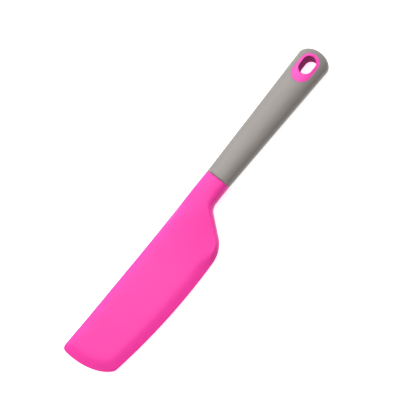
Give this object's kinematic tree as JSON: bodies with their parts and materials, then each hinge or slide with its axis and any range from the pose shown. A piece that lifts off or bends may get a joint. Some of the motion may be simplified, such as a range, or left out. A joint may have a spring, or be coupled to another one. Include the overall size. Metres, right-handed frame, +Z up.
{
  "type": "offset spatula",
  "caption": "Silicone spreading spatula with a long one-sided blade, stepped heel, soft-touch handle and a lined hang hole.",
  "frame": {"origin": "bottom centre of the whole tool lying on its flat back", "axes": "+X from the handle to the blade's tip, +Y to the side the blade steps out to, +Z up from the flat back"},
  "size_m": [0.32, 0.055, 0.0155],
  "materials": {
    "blade_silicone": "matte moulded silicone",
    "grip": "soft-touch matte",
    "eye_silicone": "matte moulded silicone",
    "nylon": "glass-filled nylon",
    "handle_plastic": "moulded polypropylene",
    "steel": "plain pin stock"
  },
  "bodies": {
    "root": {"blade_skin": "blade_silicone", "blade_core": "nylon", "handle_grip": "grip", "handle_core": "handle_plastic", "tang_pins": "steel", "hang_eye_front": "eye_silicone", "hang_eye_back": "eye_silicone"}
  },
  "joints": []
}
